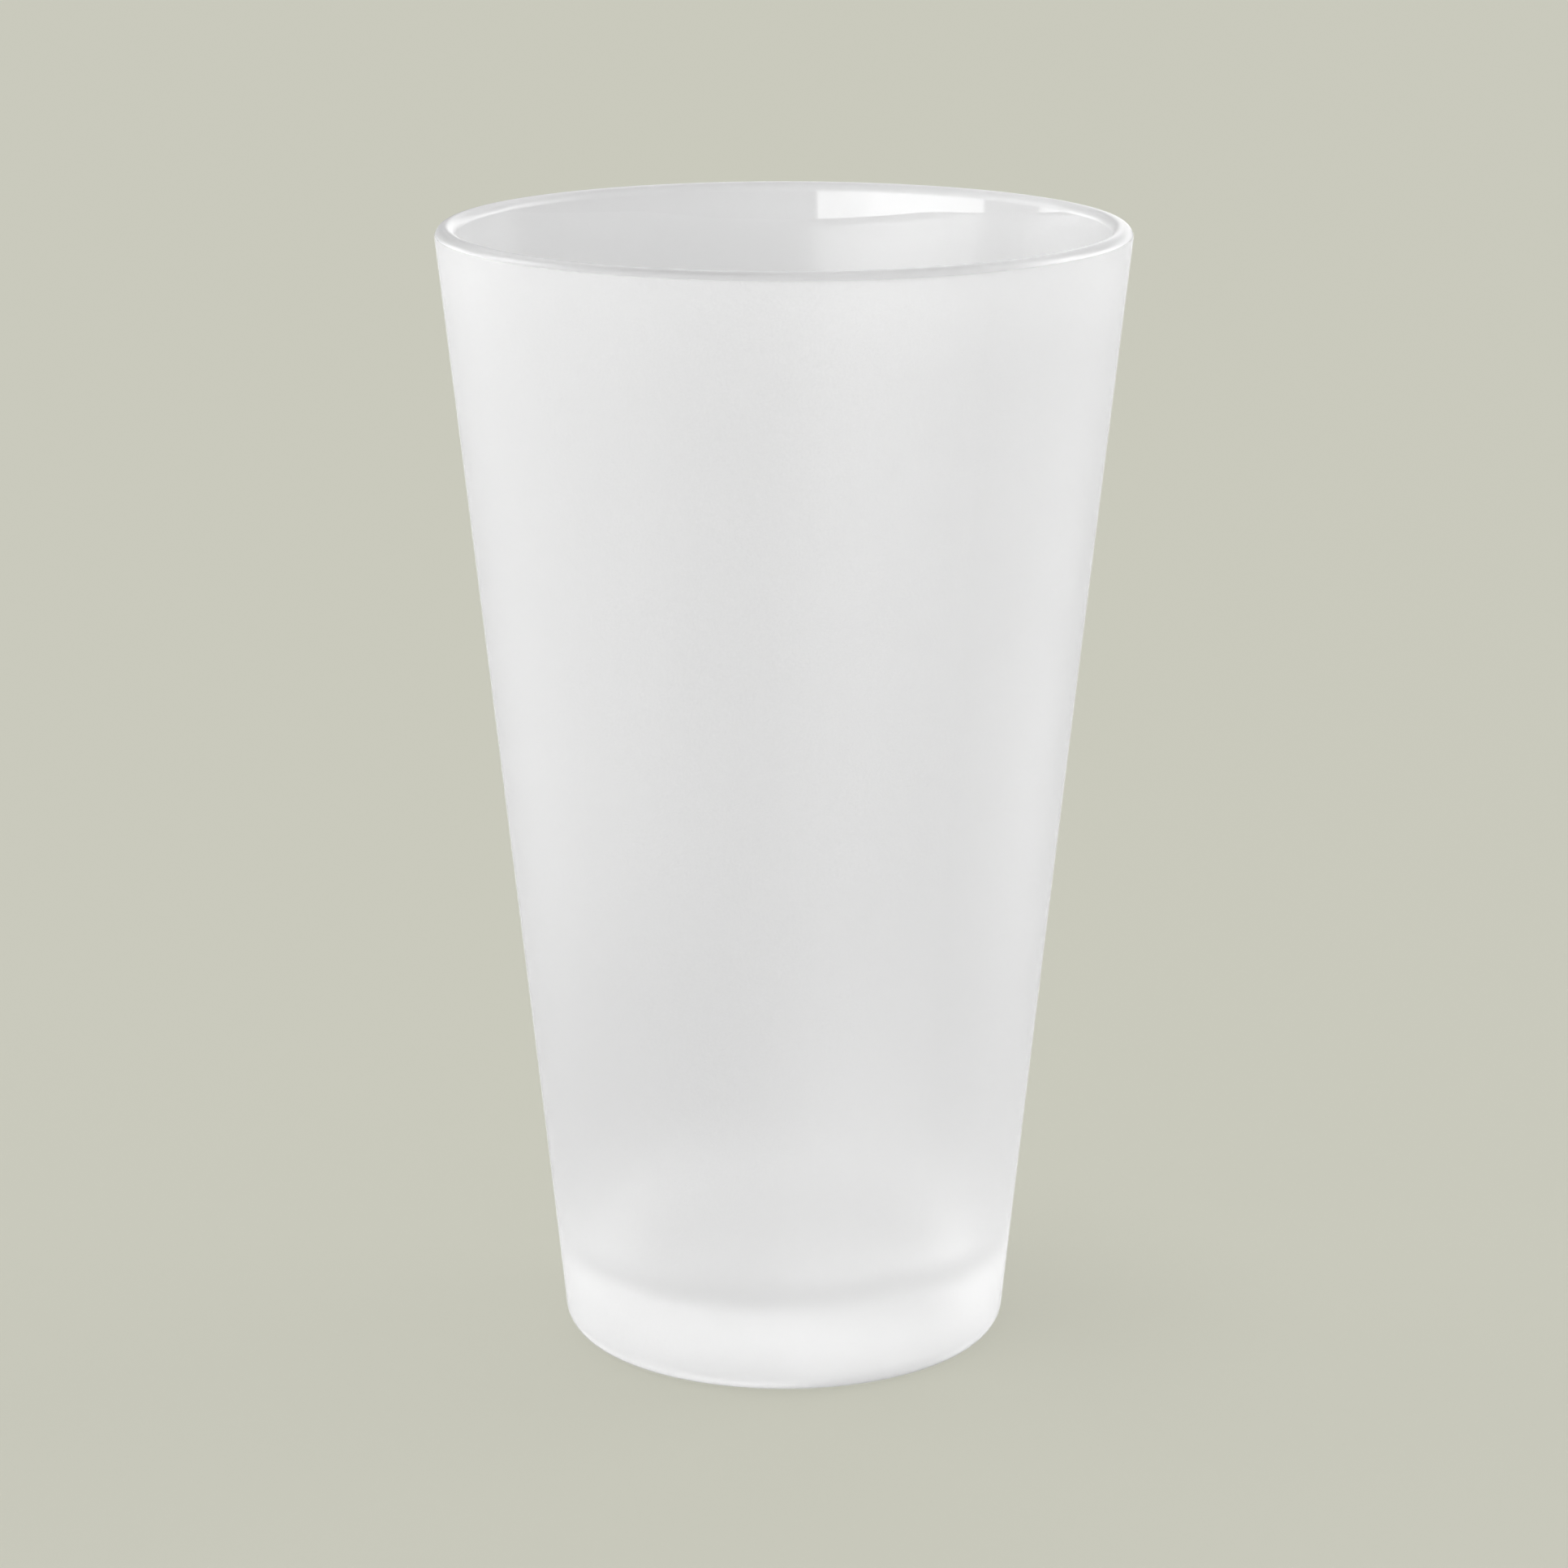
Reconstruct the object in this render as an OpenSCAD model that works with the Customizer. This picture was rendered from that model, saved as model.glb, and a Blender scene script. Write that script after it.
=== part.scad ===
// Frosted pint glass: a pressed tumbler of clear glass with a satin coat sprayed on its outside.
// Millimetres, +Z up. The origin is on the resting plane, on the axis of the glass.

/* [Tumbler] */
// Height from the table to the top of the lip
glass_height = 148.5; // [120:0.5:170]
// Widest outside diameter of the clear glass, at the lip
rim_diameter = 89.2; // [80:0.1:100]
// Outside diameter of the straight wall, carried down to the resting plane
base_diameter = 57.9; // [54:0.1:66]
// Wall thickness at the lip, whose edge is fully rounded
rim_wall = 2.6; // [2:0.1:4]
// Wall thickness level with the inside floor
floor_wall = 5.4; // [3.5:0.1:7]
// Solid glass between the resting plane and the inside floor
floor_height = 9.5; // [6:0.1:16]
// Radius that blends the inside wall into the floor
floor_fillet = 8; // [3:0.5:12]
// Radius of the rounded heel outside
heel_radius = 3.6; // [2:0.1:6]

/* [Underside] */
// Diameter of the shallow dish pressed into the underside
dish_diameter = 45; // [30:1:48]
// Depth of that dish at the axis
dish_depth = 0.8; // [0.3:0.1:2]

/* [Frosted coat] */
// Thickness of the coat
coat_thickness = 0.1; // [0.05:0.01:0.3]
// Bare clear glass left between the top of the lip and the coat
bare_lip = 1.0; // [0.6:0.1:1.2]
// Height of the lower edge of the coat above the resting plane
coat_foot = 0.3; // [0.2:0.1:1]

/* [Hidden] */
$fn = 180;
ARC_STEPS = 14;

lip_radius = rim_wall / 2;
lip_r = rim_diameter / 2 - lip_radius;
lip_z = glass_height - lip_radius;
base_r = base_diameter / 2;

// Lean of the outside wall from the vertical: the line from the foot that touches the lip's round.
outer_lean = tangent_lean(lip_r - base_r, lip_z, lip_radius);
heel_r = fillet_centre(base_r, heel_radius, outer_lean);

// Lean of the inside wall, from the edge of the floor to the other side of the lip's round.
inner_r = base_r + floor_height * tan(outer_lean) - floor_wall;
inner_lean = tangent_lean(lip_r - inner_r, lip_z - floor_height, -lip_radius);
fillet_r = fillet_centre(inner_r, floor_fillet, inner_lean);

// Sphere whose cap is the dish under the base.
dish_r = dish_diameter / 2;
dish_sphere = (dish_r * dish_r + dish_depth * dish_depth) / (2 * dish_depth);

// Lean of a wall that starts at the origin and touches a circle of the given radius at (dr, dz).
function tangent_lean(dr, dz, radius) = atan(dr / dz) + asin(radius / norm([dr, dz]));

// Axis distance of the centre of a round between a level surface and a wall that starts at wall_r.
function fillet_centre(wall_r, radius, lean) = wall_r + radius * tan(lean) - radius / cos(lean);

// Points of an arc about (r, z) from angle a0 to angle a1.
function arc(r, z, radius, a0, a1) =
    [for (i = [0:ARC_STEPS]) let (a = a0 + (a1 - a0) * i / ARC_STEPS)
        [r + radius * cos(a), z + radius * sin(a)]];

// Angle on a circle at which its height above its centre is dz.
function angle_at(dz, radius) = asin(dz / radius);

// Half section of the tumbler, from the axis under the base round to the axis on the floor.
module glass_section() {
    polygon(concat(
        arc(0, dish_depth - dish_sphere, dish_sphere, 90, acos(dish_r / dish_sphere)),
        arc(heel_r, heel_radius, heel_radius, -90, -outer_lean),
        arc(lip_r, lip_z, lip_radius, -outer_lean, 180 - inner_lean),
        arc(fillet_r, floor_height + floor_fillet, floor_fillet, -inner_lean, -90),
        [[0, floor_height]]
    ));
}

// Half section of the coat: up its outside from the heel to the lip, and down the face of the glass.
module coat_section() {
    outer_heel = heel_radius + coat_thickness;
    outer_lip = lip_radius + coat_thickness;
    foot_dz = coat_foot - heel_radius;
    top_dz = lip_radius - bare_lip;
    polygon(concat(
        arc(heel_r, heel_radius, outer_heel, angle_at(foot_dz, outer_heel), -outer_lean),
        arc(lip_r, lip_z, outer_lip, -outer_lean, angle_at(top_dz, outer_lip)),
        arc(lip_r, lip_z, lip_radius, angle_at(top_dz, lip_radius), -outer_lean),
        arc(heel_r, heel_radius, heel_radius, -outer_lean, angle_at(foot_dz, heel_radius))
    ));
}

// Clear tumbler, pressed in one piece.
module glass_body() {
    color([0.93, 0.94, 0.93, 0.5])
        rotate_extrude() glass_section();
}

// Satin white coat on the outside of the wall and heel.
module frosted_coat() {
    color([0.96, 0.96, 0.96])
        rotate_extrude() coat_section();
}

glass_body();
frosted_coat();
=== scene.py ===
"""The looks of a frosted pint glass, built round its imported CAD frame. Metres, +Z up."""
import math

import bpy
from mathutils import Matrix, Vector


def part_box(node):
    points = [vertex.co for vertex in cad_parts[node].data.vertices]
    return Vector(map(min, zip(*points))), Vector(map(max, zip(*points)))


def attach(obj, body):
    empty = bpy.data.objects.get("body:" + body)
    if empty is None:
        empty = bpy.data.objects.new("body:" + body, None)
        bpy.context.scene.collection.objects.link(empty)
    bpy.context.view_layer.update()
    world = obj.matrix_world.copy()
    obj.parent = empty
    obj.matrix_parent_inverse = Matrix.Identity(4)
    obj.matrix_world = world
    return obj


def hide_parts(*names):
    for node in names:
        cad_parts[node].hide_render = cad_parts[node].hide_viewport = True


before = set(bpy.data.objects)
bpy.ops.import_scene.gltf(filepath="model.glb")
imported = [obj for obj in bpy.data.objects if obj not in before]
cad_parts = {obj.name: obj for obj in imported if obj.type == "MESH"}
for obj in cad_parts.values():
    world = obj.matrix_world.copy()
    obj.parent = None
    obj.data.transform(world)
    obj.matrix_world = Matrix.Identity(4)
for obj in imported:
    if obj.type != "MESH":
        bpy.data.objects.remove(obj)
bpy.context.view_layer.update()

MM = 0.001

# ---------------------------------------------------------------- sizes, from the frame where it has them
body_low, body_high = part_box("glass_body")
coat_low, coat_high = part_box("frosted_coat")
HEIGHT = body_high.z
RIM_R = body_high.x             # outside radius of the clear lip
COAT_THICK = coat_high.x - body_high.x
COAT_TOP = coat_high.z
COAT_FOOT = coat_low.z

# The rest of the CAD's sizes, and the shapes too fine for it.
LIP_RADIUS = 1.3 * MM           # half of the wall's thickness at the lip
BASE_R = 28.95 * MM             # straight outside wall, carried down to the table
HEEL_RADIUS = 3.6 * MM
FLOOR_Z = 9.5 * MM              # inside floor
FLOOR_WALL = 5.4 * MM           # wall thickness level with the floor
FLOOR_FILLET = 8.0 * MM
DISH_R = 22.5 * MM              # shallow dish pressed under the base
DISH_DEPTH = 0.8 * MM
WALL_BOW = 0.14 * MM            # the wall is a hair hollow halfway up
BEAD = 0.3 * MM                 # fire polishing leaves the lip thicker than the wall under it
BEAD_REACH = 7.0 * MM
FILM_GAP = 0.02 * MM            # keeps the coat's inner face off the glass

# ---------------------------------------------------------------- how finely the profiles are drawn
TURNS = 256                     # segments round the glass
DISH_STEPS = 12
FOOT_STEPS = 5
HEEL_STEPS = 16
OUTSIDE_STEPS = 40
COATED_LIP_STEPS = 6
BARE_LIP_STEPS = 24
INSIDE_STEPS = 60
CORNER_STEPS = 24
FLOOR_STEPS = 6
ON_AXIS = 1e-9                  # a point nearer the axis than this is on it

# ---------------------------------------------------------------- finishes
WHITE = (1.0, 1.0, 1.0, 1)
GLASS_IOR = 1.5
WALL_FROST = 0.42               # roughness under the coat
BASE_FROST = 0.42               # and on the underside
FROST_CLOUD = 0.01              # how far the clouds move that roughness each way
LIP_FROST = 0.3                 # the bare lip is a little satin
LIP_CLEAR = 0.85                # and this clear, because a trace of the spray reaches it
FILM_WHITE = (0.95, 0.95, 0.95, 1)
FILM_FROST = 0.6
FILM_IOR = 1.45
FILM_HAZE = 0.2                 # share of the light that the coat stops at each of its faces
FILM_CLOUD = 0.004              # how far the clouds move that share each way
FILM_GRAIN = 0.02               # and how far the grain does
GRAIN_SIZE = 0.25 * MM
GRAIN_DETAIL = 2.0
GRAIN_DEPTH = 0.002 * MM
CLOUD_SIZE = 12.0 * MM
CLOUD_DETAIL = 3.0
WAVE_SIZE = 30.0 * MM
WAVE_DETAIL = 1.0
WAVE_DEPTH = 0.02 * MM
NOISE_LOW, NOISE_HIGH = 0.25, 0.75      # nearly all of a noise texture's values lie between these


# ---------------------------------------------------------------- profiles
def tangent_lean(dr, dz, radius):
    """Lean of a wall that starts at the origin and touches a circle of that radius at (dr, dz)."""
    return math.atan2(dr, dz) + math.asin(radius / math.hypot(dr, dz))


def fillet_centre(wall_r, radius, lean):
    """Axis distance of the centre of a round between a level surface and a leaning wall."""
    return wall_r + radius * math.tan(lean) - radius / math.cos(lean)


def arc(r, z, radius, start, end, steps):
    """Points of an arc about (r, z), angles in radians."""
    points = []
    for i in range(steps + 1):
        a = start + (end - start) * i / steps
        points.append((r + radius * math.cos(a), z + radius * math.sin(a)))
    return points


LIP_R = RIM_R - LIP_RADIUS
LIP_Z = HEIGHT - LIP_RADIUS
OUTER_LEAN = tangent_lean(LIP_R - BASE_R, LIP_Z, LIP_RADIUS)
HEEL_R = fillet_centre(BASE_R, HEEL_RADIUS, OUTER_LEAN)
INNER_R = BASE_R + FLOOR_Z * math.tan(OUTER_LEAN) - FLOOR_WALL
INNER_LEAN = tangent_lean(LIP_R - INNER_R, LIP_Z - FLOOR_Z, -LIP_RADIUS)
FILLET_R = fillet_centre(INNER_R, FLOOR_FILLET, INNER_LEAN)


def wall_points(start, end, steps, offset):
    """Points up or down a wall between two profile points, each moved sideways by offset(z)."""
    points = []
    for i in range(1, steps):
        t = i / steps
        z = start[1] + (end[1] - start[1]) * t
        points.append((start[0] + (end[0] - start[0]) * t + offset(z), z))
    return points


def outer_bow(z):
    """Sideways move of the outside wall: inwards, most of all halfway up."""
    t = z / HEIGHT
    return -4 * WALL_BOW * t * (1 - t)


def inner_bead(z):
    """Sideways move of the inside wall: outwards, below the thickened lip."""
    u = (HEIGHT - z) / BEAD_REACH
    return BEAD * (1 - math.exp(-u * u)) * min(1.0, (z - FLOOR_Z) / (HEIGHT - FLOOR_Z))


def outer_profile(offset, z_low, z_high):
    """The outside of the glass from the heel to the lip, moved out by offset, between two heights."""
    heel = arc(HEEL_R, HEEL_RADIUS, HEEL_RADIUS + offset,
               math.asin((z_low - HEEL_RADIUS) / (HEEL_RADIUS + offset)), -OUTER_LEAN, HEEL_STEPS)
    lip = arc(LIP_R, LIP_Z, LIP_RADIUS + offset,
              -OUTER_LEAN, math.asin((z_high - LIP_Z) / (LIP_RADIUS + offset)), COATED_LIP_STEPS)
    return heel + wall_points(heel[-1], lip[0], OUTSIDE_STEPS, outer_bow) + lip


def glass_profile():
    """Half section of the tumbler, from the axis below to the axis inside.

    It comes with the bands of the underside, of the coated wall and of the bare lip.
    """
    sphere = (DISH_R ** 2 + DISH_DEPTH ** 2) / (2 * DISH_DEPTH)
    dish = arc(0, DISH_DEPTH - sphere, sphere, math.pi / 2, math.acos(DISH_R / sphere), DISH_STEPS)
    foot = arc(HEEL_R, HEEL_RADIUS, HEEL_RADIUS, -math.pi / 2,
               math.asin((COAT_FOOT - HEEL_RADIUS) / HEEL_RADIUS), FOOT_STEPS)
    coated = outer_profile(0.0, COAT_FOOT, COAT_TOP)
    lip = arc(LIP_R, LIP_Z, LIP_RADIUS,
              math.asin((COAT_TOP - LIP_Z) / LIP_RADIUS), math.pi - INNER_LEAN, BARE_LIP_STEPS)
    corner = arc(FILLET_R, FLOOR_Z + FLOOR_FILLET, FLOOR_FILLET, -INNER_LEAN, -math.pi / 2, CORNER_STEPS)
    wall = wall_points(lip[-1], corner[0], INSIDE_STEPS, inner_bead)
    floor = [(FILLET_R * (1 - i / FLOOR_STEPS), FLOOR_Z) for i in range(1, FLOOR_STEPS + 1)]
    points = dish + foot[:-1] + coated + lip[1:] + wall + corner + floor
    first = len(dish) + len(foot) - 1
    last = first + len(coated) - 1
    return points, range(0, first), range(first, last), range(last, last + len(lip) - 1)


def coat_profile():
    """Closed section of the coat: up its outside, then down its face against the glass."""
    outer_face = outer_profile(COAT_THICK, COAT_FOOT, COAT_TOP)
    inner_face = outer_profile(FILM_GAP, COAT_FOOT, COAT_TOP)
    return outer_face + inner_face[::-1]


# ---------------------------------------------------------------- meshes
def lathe(name, points, closed):
    """A mesh turned from a half section, and the band that each face is in.

    A point on the axis becomes one vertex. Band i runs from point i of the section to the next.
    """
    vertices, rings = [], []
    for r, z in points:
        if r < ON_AXIS:
            rings.append([len(vertices)])
            vertices.append((0.0, 0.0, z))
            continue
        rings.append(list(range(len(vertices), len(vertices) + TURNS)))
        for k in range(TURNS):
            a = 2 * math.pi * k / TURNS
            vertices.append((r * math.cos(a), r * math.sin(a), z))
    faces, bands = [], []
    count = len(rings)
    for i in range(count if closed else count - 1):
        low, high = rings[i], rings[(i + 1) % count]
        for k in range(TURNS):
            n = (k + 1) % TURNS
            if len(low) == 1:
                face = (low[0], high[n], high[k])
            elif len(high) == 1:
                face = (low[k], low[n], high[0])
            else:
                face = (low[k], low[n], high[n], high[k])
            faces.append(face)
            bands.append(i)
    mesh = bpy.data.meshes.new(name)
    mesh.from_pydata(vertices, [], faces)
    mesh.validate()
    mesh.shade_smooth()
    piece = bpy.data.objects.new(name, mesh)
    bpy.context.scene.collection.objects.link(piece)
    return piece, bands


# ---------------------------------------------------------------- materials
def new_material(name):
    material = bpy.data.materials.new(name)
    material.use_nodes = True
    tree = material.node_tree
    return material, tree, tree.nodes["Principled BSDF"]


def set_inputs(shader, **values):
    for name, value in values.items():
        shader.inputs[name.replace("_", " ")].default_value = value


def calc(tree, operation, *terms):
    """A Math node. Each term is a number or another node's output."""
    node = tree.nodes.new("ShaderNodeMath")
    node.operation = operation
    for socket, term in zip(node.inputs, terms):
        if isinstance(term, (int, float)):
            socket.default_value = term
        else:
            tree.links.new(term, socket)
    return node.outputs[0]


def noise(tree, size, detail, low=0.0, high=1.0):
    """Noise in object space whose blotches are about size across, running from low to high."""
    coords = tree.nodes.new("ShaderNodeTexCoord")
    texture = tree.nodes.new("ShaderNodeTexNoise")
    texture.inputs["Scale"].default_value = 1 / size
    texture.inputs["Detail"].default_value = detail
    tree.links.new(coords.outputs["Object"], texture.inputs["Vector"])
    spread = tree.nodes.new("ShaderNodeMapRange")
    spread.inputs["From Min"].default_value = NOISE_LOW
    spread.inputs["From Max"].default_value = NOISE_HIGH
    spread.inputs["To Min"].default_value = low
    spread.inputs["To Max"].default_value = high
    tree.links.new(texture.outputs["Fac"], spread.inputs["Value"])
    return spread.outputs["Result"]


def clouds(tree, middle, spread):
    """Noise with the size of clouds, within spread of middle."""
    return noise(tree, CLOUD_SIZE, CLOUD_DETAIL, middle - spread, middle + spread)


def relief(tree, shader, height, depth):
    """Bump of the given depth from a height between 0 and 1."""
    bump = tree.nodes.new("ShaderNodeBump")
    bump.inputs["Distance"].default_value = depth
    tree.links.new(height, bump.inputs["Height"])
    tree.links.new(bump.outputs["Normal"], shader.inputs["Normal"])


def clear_glass(name, roughness=0.0, clarity=1.0):
    """Pressed glass: clear, with the faint waviness that the plunger leaves."""
    material, tree, shader = new_material(name)
    set_inputs(shader, Base_Color=WHITE, Roughness=roughness, IOR=GLASS_IOR, Transmission_Weight=clarity)
    relief(tree, shader, noise(tree, WAVE_SIZE, WAVE_DETAIL), WAVE_DEPTH)
    return material


def frosted_glass(name, roughness):
    """The glass under the coat: a fine tooth, a little stronger in some places than in others."""
    material, tree, shader = new_material(name)
    set_inputs(shader, Base_Color=WHITE, IOR=GLASS_IOR, Transmission_Weight=1.0)
    tree.links.new(clouds(tree, roughness, FROST_CLOUD), shader.inputs["Roughness"])
    relief(tree, shader, noise(tree, GRAIN_SIZE, GRAIN_DETAIL), GRAIN_DEPTH)
    return material


def satin_film():
    """The sprayed coat: a thin white haze, with fine grain and faint clouds in its density."""
    material, tree, shader = new_material("satin_film")
    set_inputs(shader, Base_Color=FILM_WHITE, Roughness=FILM_FROST, IOR=FILM_IOR)
    grain = noise(tree, GRAIN_SIZE, GRAIN_DETAIL, -FILM_GRAIN, FILM_GRAIN)
    cloud = clouds(tree, FILM_HAZE, FILM_CLOUD)
    tree.links.new(calc(tree, "ADD", grain, cloud), shader.inputs["Alpha"])
    relief(tree, shader, noise(tree, GRAIN_SIZE, GRAIN_DETAIL), GRAIN_DEPTH)
    return material


def make_glass():
    points, underside, coated, lip = glass_profile()
    piece, bands = lathe("tumbler", points, closed=False)
    finishes = [                # each one takes its bands from the first, which has them all
        (clear_glass("clear_glass"), range(len(points) - 1)),
        (frosted_glass("frosted_glass", WALL_FROST), coated),
        (frosted_glass("frosted_base", BASE_FROST), underside),
        (clear_glass("bare_lip", LIP_FROST, LIP_CLEAR), lip),
    ]
    finish_of = {}
    for index, (material, stretch) in enumerate(finishes):
        piece.data.materials.append(material)
        finish_of.update((band, index) for band in stretch)
    for polygon, band in zip(piece.data.polygons, bands):
        polygon.material_index = finish_of[band]
    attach(piece, "root")
    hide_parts("glass_body")


def make_coat():
    piece, _ = lathe("frosting", coat_profile(), closed=True)
    piece.data.materials.append(satin_film())
    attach(piece, "root")
    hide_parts("frosted_coat")


# ---------------------------------------------------------------- stage
# The studio is a grey room with soft patches of light, and a pale floor. Azimuth is measured from the
# camera's side of the glass round to the camera's right, elevation from the horizon, both in degrees.
ROOM_LIGHT = 0.6
EDGE = 2.5                      # degrees over which a patch fades
SOFTBOXES = {                   # azimuth from and to, elevation from and to, strength added to the room's
    "window": (-77, -12, -6, 14, 4.9),
    "window_core": (-60, -30, -6, 10, 1.1),
    "left_bank": (-123, -90, 18, 36, 3.2),
    "left_low": (-145, -105, -6, 12, 3.6),
    "right_low": (118, 142, -6, 12, 4.0),
    "right_rear": (145, 182, -6, 16, 1.4),
    "right_side": (90, 125, 10, 30, 3.9),
    "right_top": (50, 128, 30, 50, 0.8),
    "rear_top": (140, 215, 25, 50, 1.2),
}
BACKDROP = (0.590, 0.590, 0.508)    # what the camera sees of the floor and the room
FLOOR_R = 12.0
FLOOR_SIDES = 96
FLOOR_LIT = 1.02                # how brightly the lights fall on the floor
FLOOR_SHADE = 0.25              # how much of the floor's tone takes shadows

# Patches on the floor: azimuth from and to, distance from the axis in metres from and to, strength.
PAINTED_SHADOW_TURN = 60                # degrees over which the painted shadow fades round the glass
PAINTED_SHADOW_EDGE = 0.05              # and metres over which the painted shadow fades outwards
PAINTED_FLOOR_SHADOW = {                # a painted shadow beside the foot: what the camera sees less of
    "painted_shadow_beside_foot": (65, 155, 0.0, 0.05, -0.08),
}
FLOOR_LIGHT = 0.5               # what the glass sees of the floor
FLOOR_EDGE = 0.01               # metres over which a patch of that light fades outwards
FLOOR_PATCHES = {
    "foot_left": (-90, 0, 0.033, 0.06, 0.75),
    "foot_right": (0, 90, 0.033, 0.06, 1.7),
    "foot_rear": (90, 270, 0.033, 0.06, 0.5),
    "near_right": (90, 180, 0.06, 0.15, 0.35),
    "front_right": (0, 45, 0.15, 0.5, 0.8),
    "left": (-135, -45, 0.15, 0.5, 0.7),
    "right": (45, 135, 0.15, 0.5, 1.0),
    "rear": (135, 225, 0.15, 0.5, 0.2),
    "far_rear": (120, 240, 0.5, 30.0, 0.2),
}


def inside(tree, value, middle, half, edge):
    """1 where value is within half of middle, fading to 0 over edge."""
    node = tree.nodes.new("ShaderNodeMapRange")
    node.interpolation_type = "SMOOTHSTEP"
    tree.links.new(calc(tree, "ABSOLUTE", calc(tree, "SUBTRACT", value, middle)), node.inputs["Value"])
    node.inputs["From Min"].default_value = half + edge / 2
    node.inputs["From Max"].default_value = half - edge / 2
    return node.outputs["Result"]


def patches(tree, azimuth, height, table, base, azimuth_edge, height_edge):
    """A base level with a table's patches on it.

    The azimuth and its edge are in radians, and the height and its edge are in the table's unit.
    """
    total = base
    for start, end, low, high, strength in table.values():
        middle = math.radians((start + end) / 2)
        turned = calc(tree, "WRAP", calc(tree, "SUBTRACT", azimuth, middle), math.pi, -math.pi)
        across = inside(tree, turned, 0.0, math.radians(end - start) / 2, azimuth_edge)
        along = inside(tree, height, (low + high) / 2, (high - low) / 2, height_edge)
        total = calc(tree, "MULTIPLY_ADD", calc(tree, "MULTIPLY", across, along), strength, total)
    return total


def azimuth_of(tree, xyz):
    """Angle in radians round the glass, from the camera's side."""
    return calc(tree, "ARCTAN2", xyz.outputs["X"], calc(tree, "MULTIPLY", xyz.outputs["Y"], -1.0))


def distance_of(tree, xyz):
    """Distance from the axis of the glass."""
    squares = [calc(tree, "POWER", xyz.outputs[axis], 2.0) for axis in ("X", "Y")]
    return calc(tree, "SQRT", calc(tree, "ADD", *squares))


def split_view(tree, for_glass, for_camera, output):
    """Shows the camera one shader and every other ray another."""
    path = tree.nodes.new("ShaderNodeLightPath")
    mix = tree.nodes.new("ShaderNodeMixShader")
    tree.links.new(path.outputs["Is Camera Ray"], mix.inputs[0])
    tree.links.new(for_glass.outputs[0], mix.inputs[1])
    tree.links.new(for_camera.outputs[0], mix.inputs[2])
    tree.links.new(mix.outputs[0], tree.nodes[output].inputs["Surface"])


def make_floor():
    """A pale floor. The camera sees an even tone with faint real shadows and a painted shadow beside the
    foot, and the glass sees the light on it.
    """
    bpy.ops.mesh.primitive_circle_add(vertices=FLOOR_SIDES, radius=FLOOR_R, fill_type="NGON",
                                      location=(0, 0, 0))
    floor = bpy.context.object
    floor.name = "floor"
    material, tree, shader = new_material("floor")
    set_inputs(shader, Base_Color=(*(tone / FLOOR_LIT for tone in BACKDROP), 1), Roughness=1.0,
               Specular_IOR_Level=0.0)
    place = tree.nodes.new("ShaderNodeNewGeometry")
    xyz = tree.nodes.new("ShaderNodeSeparateXYZ")
    tree.links.new(place.outputs["Position"], xyz.inputs[0])
    azimuth = azimuth_of(tree, xyz)
    distance = distance_of(tree, xyz)
    even = tree.nodes.new("ShaderNodeEmission")
    even.inputs["Color"].default_value = (*BACKDROP, 1)
    # a painted shadow darkens the tone that the camera sees beside the foot
    tree.links.new(patches(tree, azimuth, distance, PAINTED_FLOOR_SHADOW, 1.0,
                           math.radians(PAINTED_SHADOW_TURN), PAINTED_SHADOW_EDGE), even.inputs["Strength"])
    seen = tree.nodes.new("ShaderNodeMixShader")
    seen.inputs[0].default_value = FLOOR_SHADE
    tree.links.new(even.outputs[0], seen.inputs[1])
    tree.links.new(shader.outputs[0], seen.inputs[2])
    glow = tree.nodes.new("ShaderNodeEmission")
    tree.links.new(patches(tree, azimuth, distance, FLOOR_PATCHES, FLOOR_LIGHT,
                           math.radians(EDGE), FLOOR_EDGE), glow.inputs["Strength"])
    split_view(tree, glow, seen, "Material Output")
    floor.data.materials.append(material)


def make_world():
    """The room. The camera sees an even tone, and the glass sees the soft patches of light."""
    world = bpy.data.worlds.new("studio")
    bpy.context.scene.world = world
    world.use_nodes = True
    tree = world.node_tree
    coords = tree.nodes.new("ShaderNodeTexCoord")
    xyz = tree.nodes.new("ShaderNodeSeparateXYZ")
    tree.links.new(coords.outputs["Generated"], xyz.inputs[0])
    elevation = calc(tree, "DEGREES", calc(tree, "ARCSINE", xyz.outputs["Z"]))
    lights = tree.nodes["Background"]
    tree.links.new(patches(tree, azimuth_of(tree, xyz), elevation, SOFTBOXES, ROOM_LIGHT,
                           math.radians(EDGE), EDGE), lights.inputs["Strength"])
    lights.inputs["Color"].default_value = WHITE
    backdrop = tree.nodes.new("ShaderNodeBackground")
    backdrop.inputs["Color"].default_value = (*BACKDROP, 1)
    split_view(tree, lights, backdrop, "World Output")


# ---------------------------------------------------------------- camera
CAMERA_BACK = 616.3 * MM
CAMERA_UP = 230.3 * MM
CAMERA_DOWN_TILT = 14.187       # degrees below level
LENS_MM = 110.82
SENSOR_MM = 36.0
NEAR_CLIP = 10.0 * MM


def make_camera():
    data = bpy.data.cameras.new("camera")
    data.lens = LENS_MM
    data.sensor_width = SENSOR_MM
    data.clip_start = NEAR_CLIP
    camera = bpy.data.objects.new("camera", data)
    camera.location = (0.0, -CAMERA_BACK, CAMERA_UP)
    camera.rotation_euler = (math.radians(90 - CAMERA_DOWN_TILT), 0.0, 0.0)
    bpy.context.scene.collection.objects.link(camera)
    bpy.context.scene.camera = camera


# ---------------------------------------------------------------- render
BOUNCES = 16
GLOSSY_BOUNCES = 12
FILM_PASSES = 24                # how often a ray may go on through the coat


def set_render():
    scene = bpy.context.scene
    scene.view_settings.view_transform = "Standard"
    scene.cycles.max_bounces = BOUNCES
    scene.cycles.transmission_bounces = BOUNCES
    scene.cycles.glossy_bounces = GLOSSY_BOUNCES
    scene.cycles.transparent_max_bounces = FILM_PASSES
    scene.cycles.sample_clamp_indirect = 0.0
    scene.cycles.use_denoising = True


make_glass()
make_coat()
make_floor()
make_world()
make_camera()
set_render()
